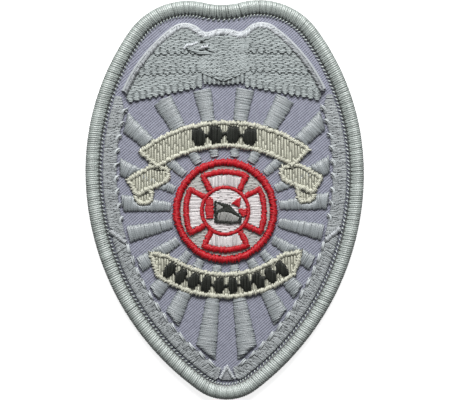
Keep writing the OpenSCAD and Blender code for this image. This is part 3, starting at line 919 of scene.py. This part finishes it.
def raised_stitch(start, end, high, side, bend=None):
    """One stitch between two places of the right side, at either side of the patch, bent at a third place."""
    bend = (start + end) / 2 if bend is None else bend
    t = satin_parts[:, None]
    flat = (1 - t) ** 2 * start + 2 * t * (1 - t) * bend + t**2 * end
    return np.column_stack([flat * (side, 1), stitch_z + high * dome(satin_parts, raised_fullness)])


def thorns(side):
    """Two stitches to a thorn: up along the band's inner edge, then hooked inwards."""
    paths = []
    for k in range(thorn_count):
        down = thorn_top - k * thorn_pitch + chance.uniform(-thorn_stray, thorn_stray)
        base, out = at_side(down, band_in + band_width)
        up = np.array([-out[1], out[0]])
        for offset in (0, thorn_pair):
            run = thorn_run + chance.uniform(-thorn_stray, thorn_stray)
            rise = thorn_rise + chance.uniform(-thorn_stray, thorn_stray)
            start = base + out * (thorn_out + offset) - up * run
            bend = base + out * (thorn_bend + offset) + up * thorn_bend
            end = base - out * (thorn_length - offset) + up * rise
            paths.append(raised_stitch(start, end, thorn_height, side, bend))
    return paths


def dashes(side):
    """Three long stitches to a dash, on the band's inner edge and a little askew to it."""
    paths = []
    for k in range(dash_count):
        middle, out = at_side(dash_top - k * dash_pitch, band_in + band_width)
        up = np.array([-out[1], out[0]])
        along = math.cos(dash_turn) * up - math.sin(dash_turn) * out
        across = np.array([along[1], -along[0]])
        for offset in dash_offsets:
            start = middle + across * (offset + chance.uniform(-dash_stray, dash_stray))
            end = middle + across * (offset + chance.uniform(-dash_stray, dash_stray))
            start = start - along * dash_length / 2 * chance.uniform(*dash_start)
            end = end + along * dash_length / 2 * chance.uniform(*dash_end)
            paths.append(raised_stitch(start, end, dash_height, side))
    return paths


for name, side in (("left", -1), ("right", 1)):
    for node, angle in (("band_upper_" + name, 0), ("band_lower_" + name, -side * lower_turn)):
        runs = scan(node, angle, band_pitch)
        flat = [run for run in runs if run[1][:, 2].mean() < stitch_z + dash_level]
        paths = fill(flat, angle, band_stitch, band_gauge[1], dip=0.1, ends=band_reach, stray=band_stray)
        # The padding's low shade is painted shade in the gaps between the band's stitches.
        parts = [padding(node, lower=0.6, shade=0.35), lay(paths, band_gauge, shade=(0.38, 0.66))]
        raised = thorns(side) if "upper" in node else dashes(side)
        # The raised thorns and dashes get a lighter shade than the flat band in the same thread: painted
        # highlight.
        parts.append(lay(raised, raised_gauge, shade=(0.7, 1)))
        piece(node, parts, band_finish)


# Ties and chevron
# A bright satin cord ties the two bands of each side together.
# At the tip a small chevron of the same thread closes them.
tie_start = (25.8, -6.7)
tie_end = (22.6, -9.3)
tie_width = 1.1
tie_height = 0.9
tie_gauge = (0.36, 0.24)
chevron_line = [(-1.55, -40.2), (0, -37.5), (1.55, -40.2)]
chevron_width = 0.7
chevron_height = 0.8
chevron_gauge = (0.34, 0.22)
# Level stitches fill the chevron: their half length, place and height
inside_x = np.linspace(0.3, 1.5, 7)
inside_y = np.linspace(-38.4, -40.3, 7)
inside_z = stitch_z + 0.4

for name, side in (("left", -1), ("right", 1)):
    node = "band_tie_" + name
    line = np.array([tie_start, tie_end]) * (side, 1)
    paths = cord(line, tie_width, stitch_z + tie_height, pitch=0.3, closed=False)
    parts = [padding(node, lower=0.7), lay(paths, tie_gauge, shade=(0.5, 0.8))]
    piece(node, parts, bright_finish)

chevron_paths = cord(chevron_line, chevron_width, stitch_z + chevron_height, pitch=0.3, closed=False)
inside_runs = []
for k, (x, y) in enumerate(zip(inside_x, inside_y)):
    inside_runs.append((k, np.array([(-x, y, inside_z), (x, y, inside_z)])))
inside_paths = satin(inside_runs, band_gauge[1])
parts = [
    padding("tip_chevron", lower=0.7),
    lay(inside_paths, band_gauge, shade=(0.35, 0.55)),
    lay(chevron_paths, chevron_gauge, shade=(0.75, 1)),
]
piece("tip_chevron", parts, bright_finish)


# Scrolls
# Two cream scrolls cross above and below the medallion, with tails and folds behind the upper one.
# Their fill is upright stitches in open rows, and a slanted satin cord goes round each part.
scroll_cord_width = 1
scroll_cord_height = 0.9
scroll_fill_height = 0.62
tail_cord_height = 0.75
tail_fill_height = 0.5
column_pitch = 0.62
column_length = 3.6
column_depth = 0.3
column_gauge = (0.38, 0.34)
scroll_cord_gauge = (0.38, 0.26)
level_play = 0.05
scroll_finish = thread_finish("cream thread", colour(214, 214, 197), colour(82, 82, 70))


def circle_meets_line(centre, r, tip, angle):
    """Point where a line from tip, at an angle from straight up, leaves a circle."""
    way = np.array([math.sin(angle), math.cos(angle)])
    back = np.array(tip) - np.array(centre)
    b = back @ way
    return tip + (-b + math.sqrt(b * b - back @ back + r * r)) * way


def inset_polygon(points, inwards):
    """Corners of a polygon whose sides are moved inwards."""
    points = np.asarray(points, float)
    after = np.roll(points, -1, axis=0) - points
    after /= np.linalg.norm(after, axis=1, keepdims=True)
    before = np.roll(after, 1, axis=0)
    follow = np.roll(points, -1, axis=0)
    turn = math.copysign(1, (points[:, 0] * follow[:, 1] - points[:, 1] * follow[:, 0]).sum())
    left = np.column_stack([-after[:, 1], after[:, 0]])
    normal = left + np.column_stack([-before[:, 1], before[:, 0]])
    normal /= np.linalg.norm(normal, axis=1, keepdims=True)
    return points + turn * (inwards / (normal * left).sum(axis=1))[:, None] * normal


def both_sides(points):
    """A right half outline and its mirror image, as one outline."""
    points = np.asarray(points, float)
    return np.vstack([points, (points * (-1, 1))[::-1]])


def kept_at(paths, node, level):
    """The stitches whose middle lies over a CAD solid's cord, and not where another piece covers it."""
    tree = solid_tree(node)
    kept = []
    for path in paths:
        z = height_at(tree, *path[len(path) // 2][:2])
        if z is not None and z > stitch_z + level - level_play:
            kept.append(path)
    return kept


def stitch_scroll(node, outline, fill_height, cord_height):
    """Upright rows at the fill's height and a cord inside the outline."""
    middle = inset_polygon(outline, scroll_cord_width / 2)
    top = stitch_z + cord_height
    edge = cord(middle, scroll_cord_width, top, pitch=0.33, slant=0.4, ragged=0.45, uneven=0.08)
    edge = kept_at(edge, node, cord_height)
    runs = scan(node, math.pi / 2, column_pitch)
    columns = [run for run in runs if run[1][:, 2].mean() < stitch_z + (fill_height + cord_height) / 2]
    rows = fill(columns, math.pi / 2, column_length, column_depth, dip=0.14, ends=0.25, stray=0.1)
    # The padding's low shade paints the gaps between the upright rows dark: painted shade.
    parts = [
        padding(node, lower=0.78, shade=0.25),
        lay(rows, column_gauge, shade=(0.8, 1.1)),
        lay(edge, scroll_cord_gauge, shade=(0.7, 1)),
    ]
    piece(node, parts, scroll_finish)


top_outer_c, top_outer_r = (0, -14.1), 32
top_inner_c, top_inner_r = (0, -15.1), 26.9
fan_tip, fan_half = (0, -7.1), math.radians(47)
outer_a = heading(top_outer_c, circle_meets_line(top_outer_c, top_outer_r, fan_tip, fan_half))
inner_a = heading(top_inner_c, circle_meets_line(top_inner_c, top_inner_r, fan_tip, fan_half))
top_right = np.vstack(
    [
        arc(top_inner_c, top_inner_r, math.pi / 2, inner_a)[1:],
        arc(top_outer_c, top_outer_r, outer_a, math.pi / 2)[:-1],
    ]
)
stitch_scroll("scroll_top", both_sides(top_right), scroll_fill_height, scroll_cord_height)

tail_points = [(22.4, 5), (16.8, 8.2), (12.6, 7.6), (12.2, 5.6)]
tail_points += [(12.7, 4.1), (17.7, 1.9), (19.7, 0.9), (20.5, 1.8)]
fold_points = [(20.6, 1.4), (15.8, 3.3), (16.1, 0.2), (17, -0.9), (19.3, -0.9), (20.5, 0.2)]
for name, side in (("left", -1), ("right", 1)):
    for part, points in (("tail", tail_points), ("fold", fold_points)):
        outline = np.array(points) * (side, 1)
        stitch_scroll(f"scroll_{part}_{name}", outline, tail_fill_height, tail_cord_height)

low_outer_c, low_outer_r = (0, 4.6), 26.8
low_inner_c, low_inner_r = (0, 4.9), 21.2
low_corners = [(12.6, -12.2), (17.5, -11.2), (15.7, -17.4)]
low_right = np.vstack(
    [
        arc(low_inner_c, low_inner_r, -math.pi / 2, heading(low_inner_c, low_corners[0]))[1:],
        low_corners[1:],
        arc(low_outer_c, low_outer_r, heading(low_outer_c, low_corners[2]), -math.pi / 2)[1:-1],
    ]
)
stitch_scroll("scroll_bottom", both_sides(low_right), scroll_fill_height, scroll_cord_height)


# Ornament on the scrolls
# A row of linked blocks in black satin stitch lies over the cream fill of each scroll.
# Its stitches stand upright and close together, and hide the fill under them.
black_pitch = 0.34
black_fullness = 4
black_gauge = (0.4, 0.24)
black_finish = thread_finish("black thread", colour(52, 54, 50), colour(8, 8, 8), lustre=0.15)

for node in ("scroll_trim_top", "scroll_trim_bottom"):
    runs = scan(node, math.pi / 2, black_pitch, jump=0.3)
    paths = satin(runs, black_gauge[1], black_fullness, ragged=0.2)
    parts = [padding(node, lower=0.8), lay(paths, black_gauge, shade=(0.5, 1))]
    piece(node, parts, black_finish)


# Medallion
# A grey ground in level stitches lies inside a thick red cord.
# Four arms with white satin fill and red cords make the cross round a white hub.
medallion = np.array([0, -2.45])
cross_z = stitch_z + 0.34
ring_r = 11.7
ring_width = 1.45
ring_height = 1
red_gauge = (0.34, 0.24)
ground_pitch = 0.34
ground_stitch = 2.4
ground_gauge = (0.4, 0.2)
arm_in = (3.55, 4)
arm_out = (5.7, 8.1)
arm_reach = 9.35
arm_cord_width = 1.2
arm_cord_height = 0.95
arm_cord_foot = 0.05
arm_clearance = 0.04
arm_fill_pitch = 0.3
arm_fill_foot = 0.1
arm_fill_gauge = (0.32, 0.22)
hub_r = 5.65
hub_ring_width = 0.75
hub_ring_height = 0.92
hub_ring_gauge = (0.34, 0.22)
disc_pitch = 0.36
disc_stitch = 3.4
disc_gauge = (0.4, 0.22)
ground_finish = thread_finish("ground thread", colour(186, 186, 182), colour(90, 92, 92))
red_finish = thread_finish("red thread", colour(196, 32, 44), colour(84, 6, 14), lustre=0.3)
white_finish = thread_finish("white thread", colour(232, 226, 226), colour(104, 98, 100))

ground_runs = scan("medallion_ground", 0, ground_pitch)
ground_rows = fill(ground_runs, 0, ground_stitch, ground_gauge[1], dip=0.08)
parts = [padding("medallion_ground", lower=0.5), lay(ground_rows, ground_gauge)]
piece("medallion_ground", parts, ground_finish)

ring_line = arc(medallion, ring_r - ring_width / 2, 0, 2 * math.pi)[:-1]
ring_paths = cord(ring_line, ring_width, stitch_z + ring_height, pitch=0.27, slant=0.2, ragged=0.28)
parts = [padding("medallion_ring", lower=0.7), lay(ring_paths, red_gauge, shade=(0.7, 1))]
piece("medallion_ring", parts, red_finish)


def arm_line(turns):
    """Middle line of one arm's cord, open at the hub, turned by quarter turns from the top one."""
    half = arm_cord_width / 2
    half_a = math.atan2(arm_out[0] - arm_in[0], arm_out[1] - arm_in[1])
    foot = (0, arm_in[1] - arm_in[0] / math.tan(half_a) + half / math.sin(half_a))
    rise = arm_reach - arm_out[1]
    bow_r = (arm_out[0] ** 2 + rise**2) / (2 * rise)
    bow_c = (0, arm_reach - bow_r)
    start = circle_meets_line((0, 0), hub_r + arm_clearance, foot, half_a)
    corner = circle_meets_line(bow_c, bow_r - half, foot, half_a)
    right = np.vstack([start, arc(bow_c, bow_r - half, heading(bow_c, corner), math.pi / 2)])
    a = turns * math.pi / 2
    line = np.vstack([right, (right * (-1, 1))[-2::-1]])
    return medallion + line @ np.array([[math.cos(a), math.sin(a)], [-math.sin(a), math.cos(a)]])


for turns, name in enumerate(("top", "left", "bottom", "right")):
    arm_paths = cord(
        arm_line(turns),
        arm_cord_width,
        stitch_z + arm_cord_height,
        pitch=0.27,
        slant=0.2,
        closed=False,
        floor=cross_z - arm_cord_foot,
        ragged=0.28,
    )
    parts = [
        padding("arm_cord_" + name, lower=0.65, floor=cross_z),
        lay(arm_paths, red_gauge, shade=(0.7, 1)),
    ]
    piece("arm_cord_" + name, parts, red_finish)
    node = "arm_fill_" + name
    runs = scan(node, 0 if turns % 2 else math.pi / 2, arm_fill_pitch)
    paths = satin(runs, arm_fill_gauge[1], ragged=0.3, floor=cross_z + arm_fill_foot)
    parts = [
        padding(node, lower=0.7, inset=0, floor=cross_z),
        lay(paths, arm_fill_gauge, shade=(0.65, 1.1)),
    ]
    piece(node, parts, white_finish)

hub_line = arc(medallion, hub_r - hub_ring_width / 2, 0, 2 * math.pi)[:-1]
hub_top = stitch_z + hub_ring_height
hub_paths = cord(hub_line, hub_ring_width, hub_top, pitch=0.3, slant=0.6, floor=cross_z)
parts = [
    padding("hub_ring", lower=0.65, inset=0.15, floor=cross_z),
    lay(hub_paths, hub_ring_gauge, shade=(0.6, 1)),
]
piece("hub_ring", parts, red_finish)
hub_rows = fill(scan("hub_disc", 0, disc_pitch), 0, disc_stitch, disc_gauge[1], dip=0.1)
parts = [padding("hub_disc", lower=0.7, floor=cross_z), lay(hub_rows, disc_gauge)]
piece("hub_disc", parts, white_finish)


# Emblem on the hub
# A small helmet in black and grey satin, with three red shapes beside it.
# They are the last stitches of all, over the white hub.
emblem_z = stitch_z + 0.76
emblem_pitch = 0.28
emblem_gauge = (0.34, 0.2)
helmet_finish = thread_finish("helmet thread", colour(158, 158, 155), colour(70, 72, 70))

# Each node: finish, slot, way of its stitches and how far they reach past its sides
for node, finish, slot, angle, reach in (
    ("helmet_shell", black_finish, "black_thread", 0.3, -0.1),
    ("helmet_crown", helmet_finish, "helmet_thread", 1.2, 0.12),
    ("helmet_brim", helmet_finish, "helmet_thread", 1.3, 0.12),
    ("red_bar", red_finish, "red_thread", 0, 0.08),
    ("red_wedge", red_finish, "red_thread", 0.7, 0.12),
    ("red_knob", red_finish, "red_thread", 0.2, 0.12),
):
    runs = scan(node, angle, emblem_pitch, step=0.06)
    paths = satin(runs, emblem_gauge[1], ragged=0.1, floor=emblem_z, reach=reach)
    parts = [padding(node, lower=0.4, inset=0.15, floor=emblem_z), lay(paths, emblem_gauge)]
    piece(node, parts, finish)


# Floor, lamp and camera
# A white floor, one long soft lamp from the top of the picture and a faint light all round.
# The camera looks straight down through a long lens, turned a little with the patch.
floor_mesh = bpy.data.meshes.new("floor")
bm = bmesh.new()
bmesh.ops.create_grid(bm, x_segments=1, y_segments=1, size=2)
bm.to_mesh(floor_mesh)
bm.free()
floor = bpy.data.objects.new("floor", floor_mesh)
bpy.context.scene.collection.objects.link(floor)
floor_finish = bpy.data.materials.new("white floor")
floor_finish.use_nodes = True
floor_shader = floor_finish.node_tree.nodes["Principled BSDF"]
socket_value(floor_shader, "Base Color", (0.6, 0.6, 0.6, 1))
socket_value(floor_shader, "Roughness", 0.9)
socket_value(floor_shader, "Emission Color", (1, 1, 1, 1))
socket_value(floor_shader, "Emission Strength", 0.8)
floor_mesh.materials.append(floor_finish)
floor.visible_diffuse = False
floor.visible_glossy = False

world = bpy.data.worlds.new("studio")
bpy.context.scene.world = world
world.use_nodes = True
sky = world.node_tree.nodes["Background"]
socket_value(sky, "Color", (1, 1, 1, 1))
socket_value(sky, "Strength", 0.16)

lamp_away = 0.6
lamp_rise = math.radians(40)
lamp_data = bpy.data.lights.new("lamp", "AREA")
lamp_data.shape = "RECTANGLE"
lamp_data.size = 0.5
lamp_data.size_y = 0.24
lamp_data.energy = 6.1
lamp = bpy.data.objects.new("lamp", lamp_data)
lamp.location = (0, lamp_away * math.cos(lamp_rise), lamp_away * math.sin(lamp_rise))
lamp.rotation_euler = (lamp_rise - math.pi / 2, 0, 0)
bpy.context.scene.collection.objects.link(lamp)

patch_top = 0.002
camera_height = 0.8
camera_turn = math.radians(-0.65)
seen_width = 0.10125
sensor_width = 36
camera_data = bpy.data.cameras.new("camera")
camera_data.sensor_width = sensor_width
camera_data.lens = sensor_width * camera_height / seen_width
camera_data.clip_end = 10
camera = bpy.data.objects.new("camera", camera_data)
camera.location = (0, 0, camera_height + patch_top)
camera.rotation_euler = (0, 0, camera_turn)
bpy.context.scene.collection.objects.link(camera)
bpy.context.scene.camera = camera
bpy.context.scene.view_settings.view_transform = "Standard"
